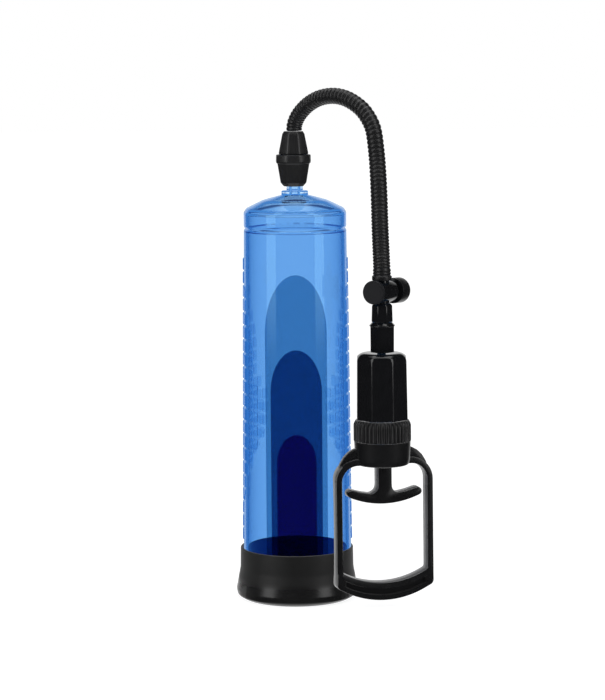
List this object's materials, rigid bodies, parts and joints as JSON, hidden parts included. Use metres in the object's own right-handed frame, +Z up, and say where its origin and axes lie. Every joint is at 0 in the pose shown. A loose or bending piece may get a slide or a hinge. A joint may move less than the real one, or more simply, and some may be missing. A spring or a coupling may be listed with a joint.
{
  "type": "hand vacuum pump",
  "caption": "Clear vacuum cylinder with a rubber base seal, joined by a ribbed hose and a push release valve to a hand pump with a finger pull inside a loop handle.",
  "frame": {"origin": "centre of the footprint box of the cylinder and the pump beside it, on the surface that the base sleeve stands on", "axes": "+Z up along the cylinder's axis; -Y is the front, where the pump hangs; +X from the cylinder towards the pump"},
  "size_m": [0.1077, 0.0794, 0.2834],
  "materials": {
    "clear_blue": "clear tinted plastic, polished",
    "black_rubber": "matte soft rubber",
    "seal_rubber": "matte sealing rubber",
    "satin_black": "satin moulded plastic",
    "gloss_black": "glossy moulded plastic",
    "spring_steel": "drawn wire"
  },
  "bodies": {
    "cylinder": {"tube": "clear_blue", "dome_cap": "clear_blue", "base_sleeve": "black_rubber", "coupling_seal": "seal_rubber"},
    "pump_line": {"coupling_body": "satin_black", "coupling_nut": "satin_black", "hose": "satin_black", "hose_cuff": "satin_black", "valve_body": "gloss_black", "outlet_fitting": "gloss_black", "outlet_seal": "seal_rubber", "inlet_check_valve": "seal_rubber", "pump_barrel": "gloss_black", "screw_collar": "gloss_black", "handle_frame": "gloss_black", "rod_guide": "satin_black", "return_spring": "spring_steel"},
    "plunger": {"pull_handle": "gloss_black", "piston": "satin_black", "piston_cup": "seal_rubber", "piston_screw": "spring_steel"},
    "release_spool": {"spool": "gloss_black", "rear_knob": "gloss_black", "spool_o_ring_front": "seal_rubber", "spool_o_ring_rear": "seal_rubber"}
  },
  "joints": [
    {"name": "coupling_swivel", "type": "hinge", "parent": "cylinder", "child": "pump_line", "pos_m": [-0.0199, 0.00595, 0.237], "axis": [0, 0, 1], "continuous": true},
    {"name": "plunger_pull", "type": "slide", "parent": "pump_line", "child": "plunger", "axis": [0, 0, -1], "range_m": [0, 0.028], "stiffness_N_per_m": 150, "springref_m": -0.02, "deforming": ["return_spring"]},
    {"name": "valve_push", "type": "slide", "parent": "pump_line", "child": "release_spool", "axis": [-0.5146, -0.8564, 0.0419], "range_m": [0, 0.0032]}
  ]
}
